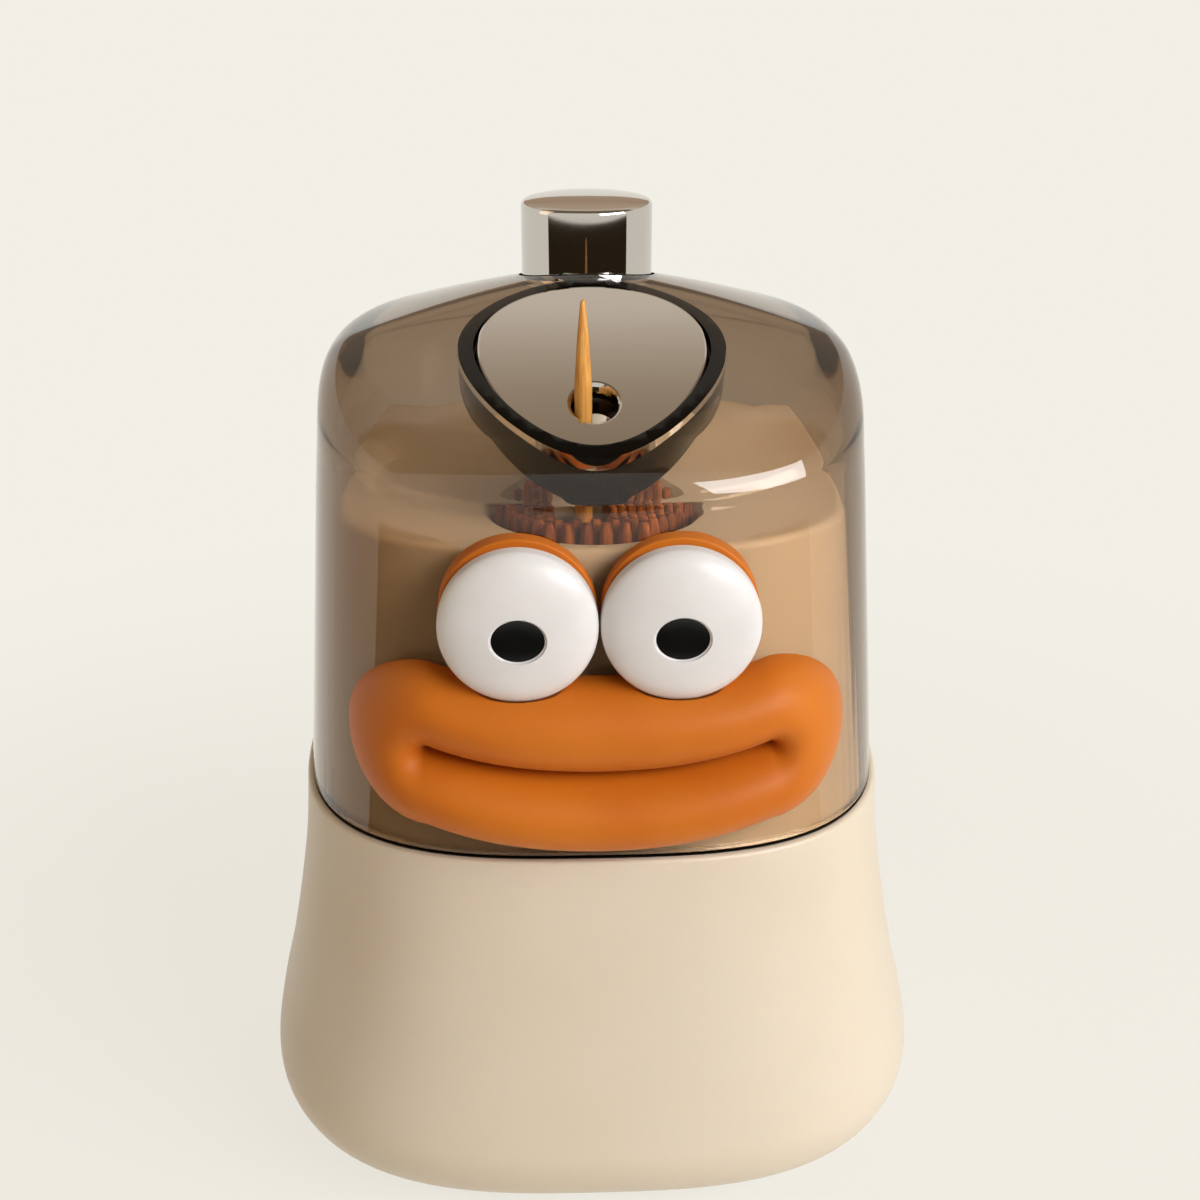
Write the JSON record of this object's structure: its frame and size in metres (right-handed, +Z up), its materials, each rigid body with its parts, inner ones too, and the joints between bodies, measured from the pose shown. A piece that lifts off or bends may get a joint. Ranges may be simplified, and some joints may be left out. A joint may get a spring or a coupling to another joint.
{
  "type": "toothpick dispenser",
  "caption": "Press-top toothpick dispenser: pressing the knob lifts a toothpick through the hole of a tilted mirror plate in a lift-off smoky cover.",
  "frame": {"origin": "on the vertical axis of the round-square base, at the underside of the anti-slip pad", "axes": "+Z up along the base's axis, -Y towards the front with the face, +X to the viewer's right"},
  "size_m": [0.0848, 0.0848, 0.118],
  "materials": {
    "cream_abs": "satin moulded",
    "smoky_san": "clear smoky brown-grey",
    "chrome": "polished",
    "steel": "bright",
    "white_acetal": "natural",
    "dark_rubber": "matte",
    "orange_rubber": "matte soft-touch",
    "white_gloss": "gloss",
    "black_gloss": "gloss",
    "bamboo": "bare"
  },
  "bodies": {
    "tower": {"base_shell": "cream_abs", "base_plate": "cream_abs", "anti_slip_pad": "dark_rubber", "base_screw_1": "steel", "base_screw_2": "steel", "base_screw_3": "steel", "base_screw_4": "steel", "bracket_screw_front": "steel", "bracket_screw_back": "steel", "inner_body": "cream_abs", "toothpick_bundle": "bamboo", "stem_bush": "white_acetal", "return_spring": "steel", "gear_bracket": "cream_abs", "gear_axle": "steel", "axle_clip_left": "steel", "axle_clip_right": "steel", "guide_rod": "steel"},
    "cover": {"smoky_cover": "smoky_san", "mirror_plate": "chrome", "eye_white_left": "white_gloss", "eye_white_right": "white_gloss", "eye_pupil_left": "black_gloss", "eye_pupil_right": "black_gloss", "eyelid_left": "orange_rubber", "eyelid_right": "orange_rubber", "lips": "orange_rubber"},
    "knob": {"knob_cap": "chrome", "push_bar": "white_acetal"},
    "gear": {"step_gear": "white_acetal"},
    "lift": {"lifter": "white_acetal"},
    "toothpick": {"raised_toothpick": "bamboo"}
  },
  "joints": [
    {"name": "cover_lift", "type": "slide", "parent": "tower", "child": "cover", "axis": [0, 0, 1], "range_m": [0, 0.055]},
    {"name": "knob_press", "type": "slide", "parent": "tower", "child": "knob", "axis": [0, 0, -1], "range_m": [0, 0.0065], "stiffness_N_per_m": 300, "springref_m": -0.003, "deforming": ["return_spring"]},
    {"name": "gear_turn", "type": "hinge", "parent": "tower", "child": "gear", "pos_m": [-0.00125, 0.0149, 0.046], "axis": [-1, 0, 0], "range_deg": [0, 74.6]},
    {"name": "lifter_rise", "type": "slide", "parent": "tower", "child": "lift", "axis": [0, 0, 1], "range_m": [0, 0.0163]},
    {"name": "toothpick_pull", "type": "slide", "parent": "tower", "child": "toothpick", "axis": [0, 0, 1], "range_m": [0, 0.05]}
  ],
  "couplings": [
    {"joint": "gear_turn", "follows": "knob_press", "rad_per_m": 200},
    {"joint": "lifter_rise", "follows": "knob_press", "ratio": 2.5}
  ]
}
